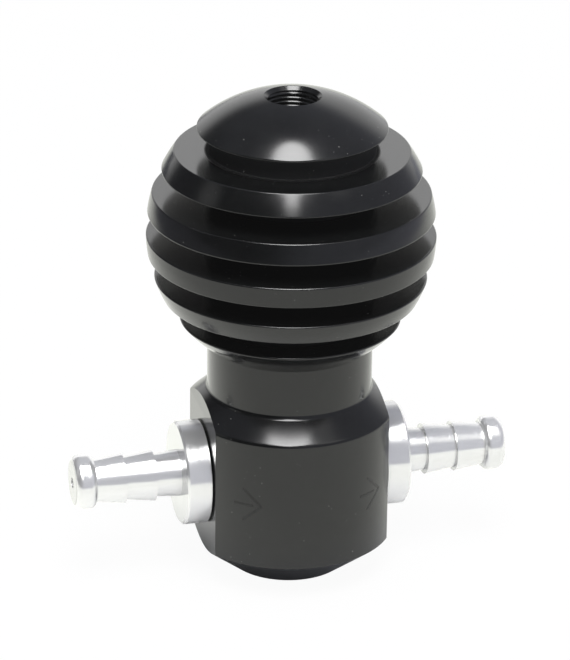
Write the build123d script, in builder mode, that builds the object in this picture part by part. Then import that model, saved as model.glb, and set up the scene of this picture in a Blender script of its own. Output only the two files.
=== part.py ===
import os
from math import atan2, cos, degrees, radians, sin, sqrt

from build123d import *

# Manual boost controller: one turned housing with a ball valve and its adjusting screw inside.
# Z runs up the axis of the housing, from the centre of its foot, and X along the two hose barbs.
# The front, which carries the flow arrows, faces -Y, and air flows from -X to +X.

# Grooved ball at the top of the housing
ball_radius = 20.0
ball_centre_height = 49.85
groove_count = 5
groove_pitch = 6.07
groove_width = 3.12
groove_floor_radius = 11.4
groove_corner = 0.2
middle_groove_rise = 1.15
fin_edge = 0.2

# Neck and barrel
neck_radius = 11.5
neck_bottom = 26.5
barrel_radius = 14.7
barrel_top = 23.7
barrel_bottom = 5.0
shoulder_round = 0.8
foot_radius = 8.3
flat_distance = 12.4

# Bore, from the thread in the top of the ball down to the valve seat
screw_thread_radius = 3.7
mouth_radius = 3.95
mouth_chamfer = 0.55
bore_radius = 3.25
bore_top = 47.0
pilot_radius = 1.5
seat_rise = 2.1
bleed_radius = 0.5
bleed_height = 20.5

# Ports in the two flats
barb_height = 14.5
port_radius = 5.0
port_depth = 5.4
port_mouth_radius = 6.3
drilling_radius = 1.5
outlet_angle = 36.0
outlet_entry_height = 22.6

# Hose barbs, with lengths measured outwards from the flat
flange_radius = 7.3
flange_gap = 0.2
flange_face = 3.65
flange_edge = 0.3
shank_relief_radius = 4.5
root_radius = 3.3
waist_radius = 3.0
first_crest = 7.2
first_crest_radius = 3.6
second_crest = 11.5
second_crest_radius = 3.55
crest_foot_radius = 3.05
bulb_start = 15.6
bulb_rise = 0.9
bulb_land = 1.1
bulb_radius = 3.9
tip_round = 1.0
barb_bore_radius = 1.6
orifice_radius = 0.75
orifice_length = 3.0
barb_seal_section = 0.57

# Valve ball and spring
valve_ball_radius = 2.5
valve_ball_gap = 0.03
wire_radius = 0.35
coil_radius = 2.7
active_turns = 9

# Piston and adjusting screw
piston_top = 47.5
piston_skirt = 6.0
piston_spigot = 2.0
piston_spigot_radius = 2.2
piston_groove_width = 1.2
piston_groove_radius = 2.3
piston_seal_section = 0.46
sliding_clearance = 0.05
screw_top = 61.5
screw_thread_length = 8.0
screw_nose_radius = 2.9
screw_key = 4.0
screw_key_depth = 4.0
pellet_radius = 1.0
pellet_depth = 1.5
pellet_drop = 6.0
end_chamfer = 0.4

# Places worked out from the sizes above
neck_top = ball_centre_height - sqrt(ball_radius**2 - neck_radius**2)
mouth_height = ball_centre_height + sqrt(ball_radius**2 - mouth_radius**2)
neck_angle = degrees(atan2(neck_top - ball_centre_height, neck_radius))
mouth_angle = degrees(atan2(mouth_height - ball_centre_height, mouth_radius))
middle_groove = ball_centre_height + middle_groove_rise
groove_heights = [middle_groove + groove_pitch * (i - groove_count // 2) for i in range(groove_count)]
seat_foot = barb_height + seat_rise
seat_top = seat_foot + bore_radius - pilot_radius
contact_radius = valve_ball_radius * cos(radians(45))
contact_height = seat_foot + contact_radius - pilot_radius
valve_ball_height = contact_height + contact_radius + valve_ball_gap
spring_bottom = valve_ball_height + sqrt((valve_ball_radius + wire_radius) ** 2 - coil_radius**2)
skirt_bottom = piston_top - piston_skirt
piston_groove_height = piston_top - piston_skirt / 2
spring_top = skirt_bottom - wire_radius
spring_length = spring_top - spring_bottom
thread_bottom = screw_top - screw_thread_length
barb_tip = bulb_start + bulb_rise + bulb_land + tip_round
shank_end = sliding_clearance - port_depth
port_chamfer = port_mouth_radius - port_radius
barb_plane = Plane(origin=(-flat_distance, 0, barb_height), x_dir=(-1, 0, 0), z_dir=(0, 1, 0))
barb_axis = Axis((0, 0, barb_height), (1, 0, 0))

# Housing: one turned bar with cooling grooves, two milled flats and its bores
with BuildPart() as body:
    with BuildSketch(Plane.XZ) as profile:
        with BuildLine():
            barrel_line = Polyline(
                (0, 0),
                (foot_radius, 0),
                (barrel_radius, barrel_bottom),
                (barrel_radius, barrel_top),
                (neck_radius, neck_bottom),
                (neck_radius, neck_top),
            )
            ball_line = CenterArc((0, ball_centre_height), ball_radius, neck_angle, mouth_angle - neck_angle)
            Polyline(ball_line @ 1, (0, mouth_height), barrel_line @ 0)
        make_face()
        shoulder = profile.vertices().filter_by(lambda corner: barrel_bottom < corner.Y <= neck_bottom)
        fillet(shoulder, shoulder_round)
    revolve(axis=Axis.Z)

    # Cooling grooves, with their floors rounded into the walls and the fins' rims broken
    with BuildSketch(Plane.XZ) as grooves:
        with Locations(*[(ball_radius, height) for height in groove_heights]):
            Rectangle(2 * (ball_radius - groove_floor_radius), groove_width)
        fillet(grooves.vertices().group_by(Axis.X)[0], groove_corner)
    revolve(axis=Axis.Z, mode=Mode.SUBTRACT)
    fin_rims = body.edges().filter_by(GeomType.CIRCLE).filter_by(
        lambda rim: rim.radius > groove_floor_radius + 1 and rim.center().Z > neck_top
    )
    fillet(fin_rims, fin_edge)

    # Flats that the barbs seat on
    with BuildSketch(Plane.XY):
        with Locations((flat_distance + barrel_radius / 2, 0), (-flat_distance - barrel_radius / 2, 0)):
            Rectangle(barrel_radius, 3 * barrel_radius)
    extrude(amount=neck_bottom, mode=Mode.SUBTRACT)

    # Bore that ends in the conical valve seat, with the inlet's pilot hole below it
    with BuildSketch(Plane.XZ):
        with BuildLine():
            Polyline(
                (0, barb_height - drilling_radius),
                (pilot_radius, barb_height - drilling_radius),
                (pilot_radius, seat_foot),
                (bore_radius, seat_top),
                (bore_radius, bore_top),
                (screw_thread_radius, bore_top),
                (screw_thread_radius, mouth_height - mouth_chamfer),
                (mouth_radius, mouth_height),
                (0, mouth_height),
                close=True,
            )
        make_face()
    revolve(axis=Axis.Z, mode=Mode.SUBTRACT)

    # Ports, a straight drilling from the inlet, and one from the outlet up to the bore above the seat
    for side in (-1, 1):
        with Locations(Plane(origin=(side * flat_distance, 0, barb_height), z_dir=(side, 0, 0))):
            CounterSinkHole(port_radius, port_mouth_radius, depth=port_depth, counter_sink_angle=90)
    with Locations(Plane(origin=(-flat_distance, 0, barb_height), z_dir=(-1, 0, 0))):
        Hole(drilling_radius, depth=flat_distance)
    outlet_direction = (cos(radians(outlet_angle)), 0, -sin(radians(outlet_angle)))
    with BuildSketch(Plane(origin=(0, 0, outlet_entry_height), z_dir=outlet_direction)):
        Circle(drilling_radius)
    extrude(amount=(flat_distance - port_depth / 2) / outlet_direction[0], mode=Mode.SUBTRACT)
    with Locations(Plane(origin=(0, barrel_radius, bleed_height), z_dir=(0, 1, 0))):
        Hole(bleed_radius, depth=barrel_radius)
body.part.label = "body"

with BuildPart() as valve_ball:
    with Locations((0, 0, valve_ball_height)):
        Sphere(valve_ball_radius)
valve_ball.part.label = "valve_ball"

# Compression spring with closed end coils, between the ball and the piston
with BuildPart() as spring:
    with BuildLine(Plane.XY.offset(spring_bottom)) as coils:
        Helix(pitch=spring_length / active_turns, height=spring_length, radius=coil_radius)
    with BuildSketch(Plane(origin=coils.line @ 0, z_dir=coils.line % 0)):
        Circle(wire_radius)
    sweep(is_frenet=True)
    with BuildSketch(Plane.XZ):
        with Locations((coil_radius, spring_bottom), (coil_radius, spring_top)):
            Circle(wire_radius)
    revolve(axis=Axis.Z)
spring.part.label = "spring"

# Piston that presses the spring, with its seal in a groove
with BuildPart() as spring_piston:
    with BuildSketch(Plane.XZ):
        with BuildLine():
            Polyline(
                (0, skirt_bottom - piston_spigot),
                (piston_spigot_radius - end_chamfer, skirt_bottom - piston_spigot),
                (piston_spigot_radius, skirt_bottom - piston_spigot + end_chamfer),
                (piston_spigot_radius, skirt_bottom),
                (bore_radius - sliding_clearance, skirt_bottom),
                (bore_radius - sliding_clearance, piston_groove_height - piston_groove_width / 2),
                (piston_groove_radius, piston_groove_height - piston_groove_width / 2),
                (piston_groove_radius, piston_groove_height + piston_groove_width / 2),
                (bore_radius - sliding_clearance, piston_groove_height + piston_groove_width / 2),
                (bore_radius - sliding_clearance, piston_top - end_chamfer),
                (bore_radius - sliding_clearance - end_chamfer, piston_top),
                (0, piston_top),
                close=True,
            )
        make_face()
    revolve(axis=Axis.Z)
spring_piston.part.label = "spring_piston"

with BuildPart() as piston_seal:
    with BuildSketch(Plane.XZ):
        with Locations((piston_groove_radius + piston_seal_section, piston_groove_height)):
            Circle(piston_seal_section)
    revolve(axis=Axis.Z)
piston_seal.part.label = "piston_seal"

# Socket set screw that sets the boost, reached through the top of the ball
with BuildPart() as adjuster_screw:
    screw_radius = screw_thread_radius - sliding_clearance
    with BuildSketch(Plane.XZ):
        with BuildLine():
            Polyline(
                (0, piston_top),
                (screw_nose_radius - end_chamfer, piston_top),
                (screw_nose_radius, piston_top + end_chamfer),
                (screw_nose_radius, thread_bottom),
                (screw_radius - end_chamfer, thread_bottom),
                (screw_radius, thread_bottom + end_chamfer),
                (screw_radius, screw_top - end_chamfer),
                (screw_radius - end_chamfer, screw_top),
                (0, screw_top),
                close=True,
            )
        make_face()
    revolve(axis=Axis.Z)
    with BuildSketch(Plane.XY.offset(screw_top)):
        RegularPolygon(screw_key / 2, 6, major_radius=False)
    extrude(amount=-screw_key_depth, mode=Mode.SUBTRACT)
    pellet_plane = Plane(origin=(screw_radius, 0, screw_top - pellet_drop), z_dir=(1, 0, 0))
    with Locations(pellet_plane):
        Hole(pellet_radius, depth=pellet_depth)
adjuster_screw.part.label = "adjuster_screw"

# Nylon pellet that keeps the screw from turning by itself
with BuildPart() as locking_pellet:
    with BuildSketch(pellet_plane.offset(-pellet_depth)):
        Circle(pellet_radius)
    extrude(amount=2 * pellet_depth)
    with BuildSketch(Plane.XY.offset(thread_bottom)):
        Circle(screw_radius)
    extrude(amount=screw_thread_length, mode=Mode.INTERSECT)
locking_pellet.part.label = "locking_pellet"

# Hose barb on the inlet side: a turned fitting with a round flange and a threaded shank
with BuildPart() as inlet_barb:
    with BuildSketch(barb_plane):
        with BuildLine():
            barb_line = Polyline(
                (barb_tip, orifice_radius),
                (barb_tip - orifice_length, orifice_radius),
                (barb_tip - orifice_length, barb_bore_radius),
                (shank_end, barb_bore_radius),
                (shank_end, port_radius - sliding_clearance - end_chamfer),
                (shank_end + end_chamfer, port_radius - sliding_clearance),
                (-port_chamfer, port_radius - sliding_clearance),
                (-port_chamfer, shank_relief_radius),
                (flange_gap, shank_relief_radius),
                (flange_gap, flange_radius - flange_edge),
                (flange_gap + flange_edge, flange_radius),
                (flange_face - flange_edge, flange_radius),
                (flange_face, flange_radius - flange_edge),
                (flange_face, root_radius),
                (first_crest, waist_radius),
                (first_crest, first_crest_radius),
                (second_crest, crest_foot_radius),
                (second_crest, second_crest_radius),
                (bulb_start, waist_radius),
            )
            bulb_back = RadiusArc(barb_line @ 1, (bulb_start + bulb_rise, bulb_radius), bulb_rise)
            land = Line(bulb_back @ 1, (bulb_start + bulb_rise + bulb_land, bulb_radius))
            bulb_front = RadiusArc(land @ 1, (barb_tip, bulb_radius - tip_round), tip_round)
            Line(bulb_front @ 1, barb_line @ 0)
        make_face()
    revolve(axis=barb_axis)
inlet_barb.part.label = "inlet_barb"

# Rubber ring between the flange and the mouth of the port
with BuildPart() as inlet_seal:
    with BuildSketch(barb_plane):
        with Locations((flange_gap - barb_seal_section, shank_relief_radius + barb_seal_section)):
            Circle(barb_seal_section)
    revolve(axis=barb_axis)
inlet_seal.part.label = "inlet_seal"

# The outlet side has the same fitting and ring
with BuildPart() as outlet_barb:
    mirror(inlet_barb.part, about=Plane.YZ)
outlet_barb.part.label = "outlet_barb"

with BuildPart() as outlet_seal:
    mirror(inlet_seal.part, about=Plane.YZ)
outlet_seal.part.label = "outlet_seal"

os.makedirs("parts", exist_ok=True)
pieces = [
    body,
    valve_ball,
    spring,
    spring_piston,
    piston_seal,
    adjuster_screw,
    locking_pellet,
    inlet_barb,
    inlet_seal,
    outlet_barb,
    outlet_seal,
]
for piece in pieces:
    export_step(piece.part, f"parts/{piece.part.label}.step")
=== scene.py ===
from math import atan2, cos, pi, radians, sin, tan

import bpy
from mathutils import Matrix, Vector


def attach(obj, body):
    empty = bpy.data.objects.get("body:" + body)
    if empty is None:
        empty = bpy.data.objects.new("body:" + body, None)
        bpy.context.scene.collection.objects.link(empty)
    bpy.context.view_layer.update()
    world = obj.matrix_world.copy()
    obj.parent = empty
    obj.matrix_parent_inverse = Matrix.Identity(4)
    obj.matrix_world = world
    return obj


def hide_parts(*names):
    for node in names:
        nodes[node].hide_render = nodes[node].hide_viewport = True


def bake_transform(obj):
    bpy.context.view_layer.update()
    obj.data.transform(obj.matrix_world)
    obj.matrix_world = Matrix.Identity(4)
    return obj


# Manual boost controller: black anodised housing, bright hose barbs, a ball valve and its screw inside.
# Metres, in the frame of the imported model: Z up the housing, X along the barbs, the front to -Y.

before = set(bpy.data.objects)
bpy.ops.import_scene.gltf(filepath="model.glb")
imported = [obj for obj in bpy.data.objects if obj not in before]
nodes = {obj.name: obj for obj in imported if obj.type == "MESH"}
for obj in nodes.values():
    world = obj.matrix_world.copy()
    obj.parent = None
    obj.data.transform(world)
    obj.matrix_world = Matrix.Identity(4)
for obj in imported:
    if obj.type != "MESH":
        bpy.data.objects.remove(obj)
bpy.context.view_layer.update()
print("frame loaded:", len(nodes), "nodes")

mm = 0.001
micron = 0.001 * mm
cutMargin = 1 * mm


class Wire:
    # one output of a node, with the sums that the finishes use
    def __init__(self, tree, socket):
        self.tree = tree
        self.socket = socket

    def node(self, kind, settings=None, inputs=None, output=0):
        made = self.tree.nodes.new(kind)
        for name, value in (settings or {}).items():
            setattr(made, name, value)
        for name, value in (inputs or {}).items():
            if isinstance(value, Wire):
                self.tree.links.new(value.socket, made.inputs[name])
            else:
                made.inputs[name].default_value = value
        return Wire(self.tree, made.outputs[output] if len(made.outputs) else None)

    def sum(self, operation, *values):
        return self.node("ShaderNodeMath", {"operation": operation}, dict(enumerate(values)))

    def __add__(self, other):
        return self.sum("ADD", self, other)

    def __sub__(self, other):
        return self.sum("SUBTRACT", self, other)

    def __rsub__(self, other):
        return self.sum("SUBTRACT", other, self)

    def __mul__(self, other):
        return self.sum("MULTIPLY", self, other)

    def __pow__(self, other):
        return self.sum("POWER", self, other)

    def smooth(self, low, high):
        # 0 below low and 1 above high, or the other way round where low is the larger
        return self.node("ShaderNodeMapRange", {"interpolation_type": "SMOOTHSTEP"},
                         {"Value": self, "From Min": low, "From Max": high})

    def dot(self, direction):
        return self.node("ShaderNodeVectorMath", {"operation": "DOT_PRODUCT"},
                         {0: self, 1: tuple(direction)}, output="Value")

    def part(self, axis):
        return self.node("ShaderNodeSeparateXYZ", None, {"Vector": self}, output=axis)

    def blend(self, first, second):
        # self is the share of the second colour
        return self.node("ShaderNodeMix", {"data_type": "RGBA"}, {0: self, 6: first, 7: second}, output=2)


def startTree(owner):
    owner.use_nodes = True
    owner.node_tree.nodes.clear()
    return Wire(owner.node_tree, None)


def radiusAround(place, first, second):
    return (place.part(first) ** 2 + place.part(second) ** 2) ** 0.5


def clearSelection():
    if bpy.context.object and bpy.context.object.mode != "OBJECT":
        bpy.ops.object.mode_set(mode="OBJECT")
    bpy.ops.object.select_all(action="DESELECT")


# Camera: where the photograph was taken from, seen from the middle of the grooved ball
cameraLook = {
    "ballHeight": 49.85 * mm,
    "azimuth": -14.404,
    "elevation": 23.683,
    "roll": 0.711,
    "ballDepth": 560.0 * mm,
    "ballRight": 0.862 * mm,
    "ballUp": 13.826 * mm,
    "lens": 222.277,
    "sensor": 36.0,
    "clip": (0.01, 50),
}


def makeCamera(look):
    azimuth, elevation, roll = (radians(look[name]) for name in ("azimuth", "elevation", "roll"))
    forward = Vector((-sin(azimuth) * cos(elevation), cos(azimuth) * cos(elevation), -sin(elevation)))
    level = Vector((cos(azimuth), sin(azimuth), 0))
    upright = level.cross(forward)
    right = level * cos(roll) + upright * sin(roll)
    up = upright * cos(roll) - level * sin(roll)
    ball = Vector((0, 0, look["ballHeight"]))
    place = ball - right * look["ballRight"] - up * look["ballUp"] - forward * look["ballDepth"]
    data = bpy.data.cameras.new("camera")
    data.lens = look["lens"]
    data.sensor_width = look["sensor"]
    data.clip_start, data.clip_end = look["clip"]
    camera = bpy.data.objects.new("camera", data)
    bpy.context.scene.collection.objects.link(camera)
    axes = Matrix((right, up, -forward)).transposed().to_4x4()
    camera.matrix_world = Matrix.Translation(place) @ axes
    bpy.context.scene.camera = camera


makeCamera(cameraLook)

# Studio: a white table that runs back into a white wall, a grey room above and one lamp overhead
studio = {
    "tableWidth": 6.0,
    "tableFront": 0.42,
    "tableBack": 4.0,
    "tableColour": (0.92, 0.92, 0.92, 1),
    "tableGlow": 0.95,
    "tableShadow": (11 * mm, 36 * mm),
    # painted light on the table that only reflections see: a pool of light, brightest at the hot place, and
    # duller light around it
    "paintedPoolShine": 1.16,
    "paintedPoolTint": (0.99, 1.0, 0.94),
    "roomTint": (0.96, 0.98, 1.13),
    "hotShine": 1.5,
    "hotPlace": (-130, 0.045),
    "hotReach": (0.085, 0.02),
    "paintedPoolLeft": (-0.23, -0.13),
    "paintedPoolRight": (0.34, 0.18),
    "paintedPoolFront": (0.27, 0.14),
    "floorShine": (0.18, 0.56),
    "floorSides": (-0.3, 0.3),
    "wallShine": 1.17,
    "wallTop": (0.66, 0.37),
    "wallLean": 0.25,
    "wallSides": (0.60, 0.84),
    "roomLow": (0.07, 0.40),
    "roomLowSides": (-0.45, 0.45),
    "roomHigh": (0.23, 0.36),
    "roomHighSides": (-0.5, 0.5),
    "roomRise": (0.45, 0.75),
    "darkCorner": (-48, 22),
    "darkCornerEdge": (0.70, 0.93),
    "darkCornerDepth": 0.75,
    "rightGlow": (58, 54),
    "rightGlowEdge": (0.955, 0.985),
    "rightGlowShine": 1.1,
    "streakAt": (-82, 25),
    "streakEdge": (0.975, 0.998),
    "streakShine": 0.55,
    "lampDistance": 1.5,
    "lampAt": (0, 69.5),
    "lampSize": (30, 50),
    "lampStrength": 15.0,
    "lampPower": 24.0,
    "spillAt": (0.5, 39),
    "spillSize": (10, 17),
    "spillStrength": (0.8, 14.0),
}


def direction(azimuth, elevation):
    # azimuth is counted from the camera's side, to the right as the camera sees it
    turn = radians(azimuth + cameraLook["azimuth"])
    rise = radians(elevation)
    return Vector((sin(turn) * cos(rise), -cos(turn) * cos(rise), sin(rise)))


def grey(value, tint=(1, 1, 1)):
    return tuple(value * share for share in tint) + (1,)


def greys(values, tint=(1, 1, 1)):
    return [grey(value, tint) for value in values]


def makeStudio(look):
    scene = bpy.context.scene
    scene.view_settings.view_transform = "Standard"

    world = bpy.data.worlds.new("studio")
    scene.world = world
    tree = startTree(world)
    toward = tree.node("ShaderNodeTexCoord", output="Generated")
    rise = toward.part("Z")
    side = toward.dot(direction(90, 0))
    low = side.smooth(*look["roomLowSides"]).blend(*greys(look["roomLow"], look["roomTint"]))
    high = side.smooth(*look["roomHighSides"]).blend(*greys(look["roomHigh"], look["roomTint"]))
    room = rise.smooth(*look["roomRise"]).blend(low, high)
    corner = toward.dot(direction(*look["darkCorner"])).smooth(*look["darkCornerEdge"])
    room = (corner * look["darkCornerDepth"]).blend(room, grey(0))
    streak = toward.dot(direction(*look["streakAt"])).smooth(*look["streakEdge"])
    room = streak.blend(room, grey(look["streakShine"]))
    wall = (rise - side * look["wallLean"]).smooth(*look["wallTop"])
    wall = wall * toward.dot(direction(180, 0)).smooth(*look["wallSides"])
    room = wall.blend(room, grey(look["wallShine"]))
    glow = toward.dot(direction(*look["rightGlow"])).smooth(*look["rightGlowEdge"])
    room = glow.blend(room, grey(look["rightGlowShine"]))
    seen = tree.node("ShaderNodeLightPath", output="Is Camera Ray")
    colour = seen.blend(room, (1, 1, 1, 1))
    background = tree.node("ShaderNodeBackground", None, {"Color": colour, "Strength": 1.0})
    tree.node("ShaderNodeOutputWorld", None, {"Surface": background})

    bpy.ops.mesh.primitive_plane_add(size=1)
    table = bpy.context.object
    table.name = "table"
    depth = look["tableFront"] + look["tableBack"]
    spread = Matrix.Diagonal((look["tableWidth"], depth, 1, 1))
    behind = Vector((0, look["tableBack"] - depth / 2, 0))
    turn = Matrix.Rotation(radians(cameraLook["azimuth"]), 4, "Z")
    table.data.transform(turn @ Matrix.Translation(behind) @ spread)
    table.data.materials.append(tableFinish(look))

    place, size = frameLight(look["lampAt"], look["lampSize"], look["lampDistance"])
    data = bpy.data.lights.new("softbox", "AREA")
    data.shape = "ELLIPSE"
    data.size, data.size_y = size
    data.energy = look["lampPower"]
    lamp = bpy.data.objects.new("softbox", data)
    scene.collection.objects.link(lamp)
    lamp.matrix_world = place
    lamp.visible_glossy = False

    # What the polished surfaces see of the lamp and of its spill below it
    distance = look["lampDistance"]
    makeGlow("softboxFront", look["lampAt"], look["lampSize"], distance, [look["lampStrength"]] * 2)
    makeGlow("softboxSpill", look["spillAt"], look["spillSize"], distance, look["spillStrength"])


def frameLight(at, size, distance):
    # a light's place, turned to the ball, and its width and height for the angles that it covers
    toward = direction(*at)
    place = Matrix.Translation(Vector((0, 0, cameraLook["ballHeight"])) + toward * distance)
    turned = toward.to_track_quat("Z", "Y").to_matrix().to_4x4()
    return place @ turned, [2 * distance * tan(radians(angle / 2)) for angle in size]


def makeGlow(name, at, size, distance, strengths):
    place, (width, height) = frameLight(at, size, distance)
    bpy.ops.mesh.primitive_circle_add(vertices=64, radius=0.5, fill_type="NGON")
    front = bpy.context.object
    front.name = name
    front.data.transform(place @ Matrix.Diagonal((width, height, 1, 1)))
    finish = bpy.data.materials.new(name)
    tree = startTree(finish)
    lowest = min(vertex.co.z for vertex in front.data.vertices)
    highest = max(vertex.co.z for vertex in front.data.vertices)
    climb = tree.node("ShaderNodeTexCoord", output="Object").part("Z").smooth(lowest, highest)
    colour = climb.blend(*greys(strengths))
    glow = tree.node("ShaderNodeEmission", None, {"Color": colour, "Strength": 1.0})
    tree.node("ShaderNodeOutputMaterial", None, {"Surface": glow})
    front.data.materials.append(finish)
    for way in ("camera", "diffuse", "transmission", "shadow", "volume_scatter"):
        setattr(front, "visible_" + way, False)


def tableFinish(look):
    finish = bpy.data.materials.new("whiteTable")
    tree = startTree(finish)
    place = tree.node("ShaderNodeTexCoord", output="Object")
    seen = tree.node("ShaderNodeLightPath", output="Is Camera Ray")
    mirrored = tree.node("ShaderNodeLightPath", output="Is Glossy Ray")
    cloth = tree.node("ShaderNodeBsdfDiffuse", None, {"Color": look["tableColour"]})
    glow = tree.node("ShaderNodeEmission", None, {"Color": (1, 1, 1, 1), "Strength": 1.0})
    both = tree.node("ShaderNodeMixShader", None, {0: seen * look["tableGlow"], 1: cloth, 2: glow})
    # painted light: what the part mirrors of the table is an emission that only reflections see, a painted
    # pool of light that is brightest behind the part on the left, with duller painted light on the table
    # around it; close to the foot the reflections see the lit table itself, with its shadow
    side = place.dot(direction(90, 0))
    ahead = place.dot(direction(0, 0))
    paintedPool = side.smooth(*look["paintedPoolLeft"]) * side.smooth(*look["paintedPoolRight"])
    paintedPool = paintedPool * ahead.smooth(*look["paintedPoolFront"])
    hotAngle, hotDistance = look["hotPlace"]
    hot = direction(hotAngle, 0) * hotDistance
    fromHot = place.node("ShaderNodeVectorMath", {"operation": "DISTANCE"},
                         {0: place, 1: tuple(hot)}, output="Value")
    shine = fromHot.smooth(*look["hotReach"]).blend(
        *greys((look["paintedPoolShine"], look["hotShine"]), look["paintedPoolTint"]))
    around = side.smooth(*look["floorSides"]).blend(*greys(look["floorShine"], look["roomTint"]))
    shine = paintedPool.blend(around, shine)
    lit = tree.node("ShaderNodeEmission", None, {"Color": shine, "Strength": 1.0})
    near = radiusAround(place, "X", "Y").smooth(*look["tableShadow"])
    both = tree.node("ShaderNodeMixShader", None, {0: mirrored * near, 1: both, 2: lit})
    tree.node("ShaderNodeOutputMaterial", None, {"Surface": both})
    return finish


makeStudio(studio)
print("camera and studio set")

# Finishes
blackAnodised = {
    "colour": (0.0040, 0.0043, 0.0045, 1),
    "colourWorn": (0.0062, 0.0066, 0.0066, 1),
    "dust": (0.16, 0.16, 0.15, 1),
    "roughness": 0.17,
    "roughnessSpread": 0.025,
    "markScale": 9000,
    "markDepth": 0.6 * micron,
    "patchScale": 420,
    "patchRoughness": 0.7,
    "patchEdge": (0.3, 0.75),
    "speckScale": 2600,
    "speckEdge": (0.765, 0.785),
    "speckFieldScale": 150,
    "speckFieldEdge": (0.40, 0.65),
    "grooveFloor": (12.2 * mm, 11.7 * mm),
    "grooveBottom": (35.5 * mm, 36.5 * mm),
    "domeBottom": (65.3 * mm, 64.5 * mm),
    "grooveRoughness": 0.65,
    "cone": (23.4 * mm, 26.8 * mm),
    "coneLean": 0.030,
    "faceUp": (0.93, 0.99),
    "faceCoat": 0.35,
    # painted light: a faint even white glow that the whole housing emits
    "paintedGlow": 0.0035,
    "ior": 1.5,
    "anisotropic": 0.4,
}


def startFinish(name):
    finish = bpy.data.materials.new(name)
    tree = startTree(finish)
    place = tree.node("ShaderNodeTexCoord", output="Object")
    return finish, tree, place


def closeFinish(tree, inputs):
    surface = tree.node("ShaderNodeBsdfPrincipled", None, inputs)
    tree.node("ShaderNodeOutputMaterial", None, {"Surface": surface})


def noise(place, scale, detail=2.0, roughness=0.5):
    return place.node("ShaderNodeTexNoise", None, {"Vector": place, "Scale": scale, "Detail": detail,
                                                   "Roughness": roughness}, output=0)


def pair(first, second):
    return first.node("ShaderNodeCombineXYZ", None, {"X": first, "Y": second})


def spreadRoughness(broad, look):
    return broad * look["roughnessSpread"] + (look["roughness"] - look["roughnessSpread"] / 2)


def relief(marks, look):
    return marks.node("ShaderNodeBump", None, {"Strength": 1.0, "Distance": look["markDepth"],
                                               "Height": marks})


def makeBlackAnodised(look):
    finish, tree, place = startFinish("blackAnodised")
    radius = radiusAround(place, "X", "Y")
    turned = pair(radius, place.part("Z"))
    marks = noise(turned, look["markScale"], 1)
    broad = noise(place, look["patchScale"], 4, look["patchRoughness"])
    speckField = noise(place, look["speckFieldScale"], 1).smooth(*look["speckFieldEdge"])
    specks = noise(place, look["speckScale"], 1).smooth(*look["speckEdge"]) * speckField
    colour = broad.smooth(*look["patchEdge"]).blend(look["colour"], look["colourWorn"])
    height = place.part("Z")
    onFins = height.smooth(*look["grooveBottom"]) * height.smooth(*look["domeBottom"])
    inGroove = radius.smooth(*look["grooveFloor"]) * onFins
    upward = tree.node("ShaderNodeNewGeometry", output="Normal").part("Z").smooth(*look["faceUp"]) * onFins
    # leans the shading of the upper cone until its highlight is as dim as the photograph's
    low, high = look["cone"]
    lean = look["coneLean"] * (high - low) / look["markDepth"]
    climb = tree.node("ShaderNodeMapRange", None, {"Value": height, "From Min": low, "From Max": high})
    closeFinish(tree, {
        "Base Color": specks.blend(colour, look["dust"]),
        "Metallic": 0.0,
        "Roughness": inGroove * look["grooveRoughness"] + spreadRoughness(broad, look),
        "Coat Weight": upward * (1 - inGroove) * look["faceCoat"],
        "Coat Roughness": look["roughness"],
        # painted light: a faint white glow emitted over the whole surface
        "Emission Color": (1, 1, 1, 1),
        "Emission Strength": look["paintedGlow"],
        "IOR": look["ior"],
        "Anisotropic": look["anisotropic"],
        "Normal": relief(marks - climb * lean, look),
    })
    return finish


brightAluminium = {
    "colour": (0.83, 0.83, 0.825, 1),
    # painted shade: the faces that look along the barbs get a darker colour, and the end faces at the tips a
    # darker one still
    "shadedFaceColour": (0.62, 0.625, 0.62, 1),
    "shadedTipColour": (0.46, 0.465, 0.46, 1),
    "tipFrom": (29.5 * mm, 30.5 * mm),
    "metallic": 0.60,
    "roughness": 0.14,
    "roughnessSpread": 0.05,
    "patchScale": 300,
    "faceEdge": (0.85, 0.97),
    "markScale": 15000,
    "markDepth": 12.0 * micron,
}


def makeBrightAluminium(look):
    finish, tree, place = startFinish("brightAluminium")
    along = place.part("X")
    marks = noise(pair(along, along), look["markScale"], 2)
    broad = noise(place, look["patchScale"], 2)
    facing = tree.node("ShaderNodeNewGeometry", output="Normal").part("X")
    face = (facing ** 2).smooth(*look["faceEdge"])
    tip = ((along ** 2) ** 0.5).smooth(*look["tipFrom"])
    closeFinish(tree, {
        # painted shade: darker colour on the faces that look along the barbs, darker still on the end faces
        # at the tips
        "Base Color": face.blend(look["colour"], tip.blend(look["shadedFaceColour"], look["shadedTipColour"])),
        "Metallic": look["metallic"],
        "Roughness": spreadRoughness(broad, look),
        "Normal": relief(marks, look),
    })
    return finish


# Finishes of the pieces inside: marks of turning round the axis, or a grain the same all ways
turnedBrass = {
    "colour": (0.80, 0.58, 0.26, 1),
    "colourWorn": (0.62, 0.42, 0.18, 1),
    "metallic": 1.0,
    "roughness": 0.22,
    "roughnessSpread": 0.14,
    "patchScale": 500,
    "turned": True,
    "markScale": 9000,
    "markDepth": 6.0 * micron,
}
bearingSteel = {
    "colour": (0.75, 0.76, 0.78, 1),
    "colourWorn": (0.68, 0.68, 0.69, 1),
    "metallic": 1.0,
    "roughness": 0.08,
    "roughnessSpread": 0.06,
    "patchScale": 900,
    "turned": False,
    "markScale": 12000,
    "markDepth": 0.3 * micron,
}
springSteel = {
    "colour": (0.52, 0.52, 0.54, 1),
    "colourWorn": (0.34, 0.33, 0.32, 1),
    "metallic": 1.0,
    "roughness": 0.26,
    "roughnessSpread": 0.16,
    "patchScale": 1400,
    "turned": False,
    "markScale": 20000,
    "markDepth": 3.0 * micron,
}
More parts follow.
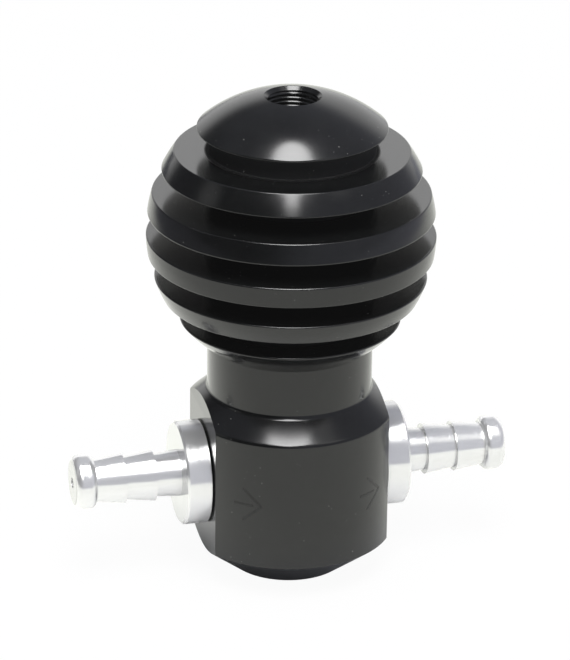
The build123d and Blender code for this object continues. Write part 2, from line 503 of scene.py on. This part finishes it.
blackOxide = {
    "colour": (0.030, 0.030, 0.033, 1),
    "colourWorn": (0.062, 0.058, 0.054, 1),
    "metallic": 0.8,
    "roughness": 0.32,
    "roughnessSpread": 0.16,
    "patchScale": 700,
    "turned": True,
    "markScale": 7000,
    "markDepth": 5.0 * micron,
    "rubbed": (3.50 * mm, 3.66 * mm),
    "rubbedColour": (0.36, 0.36, 0.37, 1),
}
blueNylon = {
    "colour": (0.10, 0.22, 0.60, 1),
    "colourWorn": (0.16, 0.30, 0.66, 1),
    "metallic": 0.0,
    "roughness": 0.42,
    "roughnessSpread": 0.12,
    "patchScale": 1600,
    "turned": False,
    "markScale": 9000,
    "markDepth": 8.0 * micron,
}
sealRubber = {
    "colour": (0.010, 0.010, 0.010, 1),
    "colourWorn": (0.026, 0.026, 0.025, 1),
    "metallic": 0.0,
    "roughness": 0.48,
    "roughnessSpread": 0.16,
    "patchScale": 1100,
    "turned": False,
    "markScale": 14000,
    "markDepth": 6.0 * micron,
}
inkBlack = {
    "colour": (0.0030, 0.0030, 0.0036, 1),
    "colourWorn": (0.0075, 0.0078, 0.0080, 1),
    "metallic": 0.0,
    "roughness": 0.40,
    "roughnessSpread": 0.12,
    "patchScale": 1500,
    "turned": False,
    "markScale": 9000,
    "markDepth": 4.0 * micron,
}


wornPatches = {"roughness": 0.65, "edge": (0.35, 0.72), "rubbedEdge": (0.30, 0.60)}


def makeWorked(name, look):
    finish, tree, place = startFinish(name)
    radius = radiusAround(place, "X", "Y")
    marked = pair(radius, place.part("Z")) if look["turned"] else place
    marks = noise(marked, look["markScale"], 2)
    broad = noise(place, look["patchScale"], 4, wornPatches["roughness"])
    colour = broad.smooth(*wornPatches["edge"]).blend(look["colour"], look["colourWorn"])
    if "rubbed" in look:
        rubbed = radius.smooth(*look["rubbed"]) * broad.smooth(*wornPatches["rubbedEdge"])
        colour = rubbed.blend(colour, look["rubbedColour"])
    closeFinish(tree, {
        "Base Color": colour,
        "Metallic": look["metallic"],
        "Roughness": spreadRoughness(broad, look),
        "Normal": relief(marks, look),
    })
    return finish


finishes = {
    "black_anodised": makeBlackAnodised(blackAnodised),
    "bright_aluminium": makeBrightAluminium(brightAluminium),
    "brass": makeWorked("turnedBrass", turnedBrass),
    "ball_steel": makeWorked("bearingSteel", bearingSteel),
    "spring_steel": makeWorked("springSteel", springSteel),
    "screw_steel": makeWorked("blackOxide", blackOxide),
    "nylon": makeWorked("blueNylon", blueNylon),
    "seal_rubber": makeWorked("sealRubber", sealRubber),
}
for node in nodes.values():
    for holder in node.material_slots:
        holder.material = finishes[holder.material.name.split(".")[0]]
print("finishes on the packed nodes")


# Screw threads, as ridges that wind up a wall: from the root, inside the wall, to the crest
boreThread = {
    "pitch": 0.6 * mm,
    "root": 3.75 * mm,
    "crest": 3.46 * mm,
    "rootWidth": 0.58 * mm,
    "crestWidth": 0.06 * mm,
    "bottom": 47.9 * mm,
    "turns": 36,
    "steps": 48,
    "mouthHeight": 69.456 * mm,
    "mouthRadius": 3.95 * mm,
    "mouthSlope": 0.25 / 0.55,
    "cutBelow": 2.0 * mm,
    "cutAbove": 0.5 * mm,
}
countersink = {
    "pitch": 0.0,
    "root": 3.97 * mm,
    "crest": 3.46 * mm,
    "rootWidth": 1.02 * mm,
    "crestWidth": 0.03 * mm,
    "bottom": 68.94 * mm,
    "turns": 1,
    "steps": 128,
    "closed": True,
}


def selectOnly(*pieces):
    clearSelection()
    for piece in pieces:
        piece.select_set(True)
    bpy.context.view_layer.objects.active = pieces[0]


def applyModifier(piece, kind, **settings):
    selectOnly(piece)
    modifier = piece.modifiers.new(kind.lower(), kind)
    for name, value in settings.items():
        setattr(modifier, name, value)
    bpy.ops.object.modifier_apply(modifier=modifier.name)


def pickVertices(piece, wanted):
    # leaves the piece in edit mode with only the wanted vertices selected
    selectOnly(piece)
    bpy.ops.object.mode_set(mode="EDIT")
    bpy.ops.mesh.select_all(action="DESELECT")
    bpy.ops.object.mode_set(mode="OBJECT")
    for vertex in piece.data.vertices:
        vertex.select = wanted(vertex.co)
    bpy.ops.object.mode_set(mode="EDIT")


def windThread(name, look):
    clearSelection()
    bpy.ops.mesh.primitive_plane_add(size=1)
    piece = bpy.context.object
    piece.name = name
    middle = (look["root"] + look["crest"]) / 2
    depth = abs(look["root"] - look["crest"])
    bpy.ops.object.mode_set(mode="EDIT")
    bpy.ops.transform.resize(value=(depth, look["rootWidth"], 1), center_override=(0, 0, 0))
    bpy.ops.transform.rotate(value=pi / 2, orient_axis="X", center_override=(0, 0, 0))
    bpy.ops.transform.translate(value=(middle, 0, look["bottom"]))
    bpy.ops.mesh.delete(type="ONLY_FACE")
    outwards = look["crest"] > look["root"]
    pickVertices(piece, lambda place: (place.x > middle) == outwards)
    narrow = look["crestWidth"] / look["rootWidth"]
    bpy.ops.transform.resize(value=(1, 1, narrow), center_override=(middle, 0, look["bottom"]))
    bpy.ops.object.mode_set(mode="OBJECT")
    applyModifier(piece, "SCREW", screw_offset=look["pitch"], iterations=look["turns"], steps=look["steps"],
                  render_steps=look["steps"], use_merge_vertices=look.get("closed", False),
                  merge_threshold=micron)
    bpy.ops.object.mode_set(mode="EDIT")
    bpy.ops.mesh.select_all(action="SELECT")
    bpy.ops.mesh.fill_holes(sides=4)
    bpy.ops.mesh.normals_make_consistent(inside=False)
    bpy.ops.object.mode_set(mode="OBJECT")
    return piece


def cutWith(piece, cutter, operation="DIFFERENCE"):
    applyModifier(piece, "BOOLEAN", operation=operation, solver="EXACT", object=cutter)
    selectOnly(cutter)
    bpy.ops.object.delete()


def dressPiece(piece, slot, sharp=35):
    selectOnly(piece)
    bpy.ops.object.shade_smooth_by_angle(angle=radians(sharp))
    piece.data.materials.clear()
    piece.data.materials.append(finishes[slot])


def finishPiece(piece, body, slot):
    dressPiece(piece, slot)
    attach(piece, body)


def makeBoreThread(look):
    ridge = windThread("boreThread", look)
    # a cone at the mouth cuts the last turns away
    mouth = look["mouthHeight"]
    low, high = mouth - look["cutBelow"], mouth + look["cutAbove"]
    radii = [look["mouthRadius"] + (height - mouth) * look["mouthSlope"] for height in (low, high)]
    bpy.ops.mesh.primitive_cone_add(vertices=96, radius1=radii[0], radius2=radii[1], depth=high - low,
                                    location=(0, 0, (low + high) / 2))
    cutWith(ridge, bpy.context.object)
    finishPiece(ridge, "housing", "black_anodised")


def makeCountersink(look):
    # a ring whose upper face is the countersink, at about 45 degrees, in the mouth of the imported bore
    ring = windThread("countersink", look)
    finishPiece(ring, "housing", "black_anodised")


makeBoreThread(boreThread)
makeCountersink(countersink)
print("thread and countersink in the bore")

# Adjusting screw: a socket set screw with its thread and a plain nose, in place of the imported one
adjusterScrew = {
    "top": 61.5 * mm,
    "threadBottom": 53.5 * mm,
    "noseBottom": 47.5 * mm,
    "coreRadius": 3.30 * mm,
    "noseRadius": 2.9 * mm,
    "chamfer": 0.35 * mm,
    "key": 4.0 * mm,
    "keyDepth": 4.0 * mm,
    "pelletRadius": 1.03 * mm,
    "pelletHeight": 55.5 * mm,
    "pelletFloor": 2.15 * mm,
    "pelletCutEnd": 4.5 * mm,
    "noseOverlap": 0.5 * mm,
}
screwThread = {
    "pitch": 0.6 * mm,
    "root": 3.25 * mm,
    "crest": 3.64 * mm,
    "rootWidth": 0.50 * mm,
    "crestWidth": 0.10 * mm,
    "bottom": 54.2 * mm,
    "turns": 12,
    "steps": 48,
}


def addCylinder(radius, low, high, vertices=96, chamfer=0.0):
    clearSelection()
    bpy.ops.mesh.primitive_cylinder_add(vertices=vertices, radius=radius, depth=high - low,
                                        location=(0, 0, (low + high) / 2))
    made = bpy.context.object
    bpy.ops.object.transform_apply(location=True, rotation=True, scale=True)
    if chamfer:
        applyModifier(made, "BEVEL", width=chamfer, segments=1, limit_method="ANGLE", angle_limit=radians(60))
    return made


def addPelletCutter(look):
    cutter = addCylinder(look["pelletRadius"], look["pelletFloor"], look["pelletCutEnd"], 48)
    bpy.ops.object.mode_set(mode="EDIT")
    bpy.ops.mesh.select_all(action="SELECT")
    bpy.ops.transform.rotate(value=-pi / 2, orient_axis="Y", center_override=(0, 0, 0))
    bpy.ops.transform.translate(value=(0, 0, look["pelletHeight"]))
    bpy.ops.object.mode_set(mode="OBJECT")
    return cutter


def makeAdjusterScrew(look, thread):
    bottom, top = look["threadBottom"], look["top"]
    core = addCylinder(look["coreRadius"], bottom, top, chamfer=look["chamfer"])
    core.name = "threadedScrew"
    nose = addCylinder(look["noseRadius"], look["noseBottom"], bottom + look["noseOverlap"],
                       chamfer=look["chamfer"])
    cutWith(core, nose, "UNION")
    keyCorner = look["key"] / 2 / cos(pi / 6)
    socket = addCylinder(keyCorner, top - look["keyDepth"], top + cutMargin, 6)
    cutWith(core, socket)
    cutWith(core, addPelletCutter(look))
    ridge = windThread("screwThread", thread)
    cutWith(ridge, addPelletCutter(look))
    selectOnly(core, ridge)
    bpy.ops.object.join()
    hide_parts("adjuster_screw")
    finishPiece(core, "screw", "screw_steel")


makeAdjusterScrew(adjusterScrew, screwThread)
print("threaded adjusting screw")

# Spring in two lengths, lower coils and upper coils, between the valve ball and the piston
coilSpring = {
    "wire": 0.35 * mm,
    "wireSides": 24,
    "coilRadius": 2.7 * mm,
    "pitch": 2.39689 * mm,
    "bottom": 19.578 * mm,
    "steps": 56,
    "lowerTurns": (0, 2),
    "upperTurns": (2, 9),
    "still": 0.4 * mm,
}


def windCoils(name, look, turns, ringTurn):
    first, last = turns
    clearSelection()
    bpy.ops.mesh.primitive_circle_add(vertices=look["wireSides"], radius=look["wire"], fill_type="NOTHING")
    coils = bpy.context.object
    bpy.ops.object.mode_set(mode="EDIT")
    bpy.ops.transform.rotate(value=pi / 2, orient_axis="X", center_override=(0, 0, 0))
    bpy.ops.transform.translate(value=(look["coilRadius"], 0, look["bottom"] + first * look["pitch"]))
    bpy.ops.object.mode_set(mode="OBJECT")
    applyModifier(coils, "SCREW", screw_offset=look["pitch"], iterations=last - first, steps=look["steps"],
                  render_steps=look["steps"])
    bpy.ops.object.mode_set(mode="EDIT")
    bpy.ops.mesh.select_all(action="SELECT")
    bpy.ops.mesh.fill_holes(sides=look["wireSides"])
    bpy.ops.mesh.normals_make_consistent(inside=False)
    bpy.ops.object.mode_set(mode="OBJECT")
    clearSelection()
    bpy.ops.mesh.primitive_torus_add(major_radius=look["coilRadius"], minor_radius=look["wire"],
                                     major_segments=96, minor_segments=look["wireSides"])
    ring = bpy.context.object
    bpy.ops.object.mode_set(mode="EDIT")
    bpy.ops.transform.translate(value=(0, 0, look["bottom"] + ringTurn * look["pitch"]))
    bpy.ops.object.mode_set(mode="OBJECT")
    selectOnly(coils, ring)
    bpy.ops.object.join()
    coils.name = name
    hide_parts("spring")
    dressPiece(coils, "spring_steel", sharp=60)
    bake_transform(coils)


windCoils("lowerCoils", coilSpring, coilSpring["lowerTurns"], 0)
windCoils("upperCoils", coilSpring, coilSpring["upperTurns"], 9)
print("spring between the valve ball and the piston")

# Square back edges of the flanges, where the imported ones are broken
flangeLand = {
    "radius": 7.3 * mm,
    "inside": 6.9 * mm,
    "flat": 12.4 * mm,
    "start": 0.22 * mm,
    "end": 0.51 * mm,
    "height": 14.5 * mm,
    "chamfer": 0.04 * mm,
}


def makeFlangeLand(name, look, side):
    low, high = look["flat"] + look["start"], look["flat"] + look["end"]
    land = addCylinder(look["radius"], low, high, 128, look["chamfer"])
    land.name = name
    cutWith(land, addCylinder(look["inside"], low - cutMargin, high + cutMargin))
    selectOnly(land)
    bpy.ops.object.mode_set(mode="EDIT")
    bpy.ops.mesh.select_all(action="SELECT")
    bpy.ops.transform.rotate(value=-side * pi / 2, orient_axis="Y", center_override=(0, 0, 0))
    bpy.ops.transform.translate(value=(0, 0, look["height"]))
    bpy.ops.object.mode_set(mode="OBJECT")
    finishPiece(land, "housing", "bright_aluminium")


for name, side in (("inletFlangeLand", -1), ("outletFlangeLand", 1)):
    makeFlangeLand(name, flangeLand, side)
print("flange lands")

# Flow arrows marked on the front of the barrel: both point from the inlet to the outlet
flowArrows = {
    "angles": (-36.8, 36.8),
    "height": 14.3 * mm,
    "barrelRadius": 14.7 * mm,
    "tail": -2.05 * mm,
    "shaftEnd": 0.85 * mm,
    "tip": 2.05 * mm,
    "headBack": -0.7 * mm,
    "headRise": 2.4 * mm,
    "width": 0.34 * mm,
    "proud": 0.012 * mm,
    "thickness": 0.03 * mm,
    "cuts": 11,
}


def addStroke(look, angle, start, end):
    clearSelection()
    bpy.ops.mesh.primitive_plane_add(size=1)
    stroke = bpy.context.object
    run, rise = end[0] - start[0], end[1] - start[1]
    bpy.ops.object.mode_set(mode="EDIT")
    bpy.ops.mesh.subdivide(number_cuts=look["cuts"])
    length = (run ** 2 + rise ** 2) ** 0.5
    bpy.ops.transform.resize(value=(length, look["width"], 1), center_override=(0, 0, 0))
    bpy.ops.transform.rotate(value=-atan2(rise, run), orient_axis="Z", center_override=(0, 0, 0))
    bpy.ops.transform.rotate(value=-pi / 2, orient_axis="X", center_override=(0, 0, 0))
    middle = ((start[0] + end[0]) / 2, -look["barrelRadius"], look["height"] + (start[1] + end[1]) / 2)
    bpy.ops.transform.translate(value=middle)
    bpy.ops.transform.rotate(value=-radians(angle), orient_axis="Z", center_override=(0, 0, 0))
    bpy.ops.object.mode_set(mode="OBJECT")
    applyModifier(stroke, "SHRINKWRAP", target=nodes["body"], wrap_method="NEAREST_SURFACEPOINT",
                  wrap_mode="OUTSIDE_SURFACE", offset=look["proud"])
    applyModifier(stroke, "SOLIDIFY", thickness=look["thickness"], offset=0)
    return stroke


def makeFlowArrow(name, look, angle):
    tip = (look["tip"], 0)
    strokes = [
        addStroke(look, angle, (look["tail"], 0), (look["shaftEnd"], 0)),
        addStroke(look, angle, (look["headBack"], look["headRise"]), tip),
        addStroke(look, angle, (look["headBack"], -look["headRise"]), tip),
    ]
    selectOnly(*strokes)
    bpy.ops.object.join()
    strokes[0].name = name
    finishPiece(strokes[0], "housing", "black_anodised")
    strokes[0].data.materials.clear()
    strokes[0].data.materials.append(makeWorked(name, inkBlack))


for name, angle in zip(("inletArrow", "outletArrow"), flowArrows["angles"]):
    makeFlowArrow(name, flowArrows, angle)
print("flow arrows")

clearSelection()
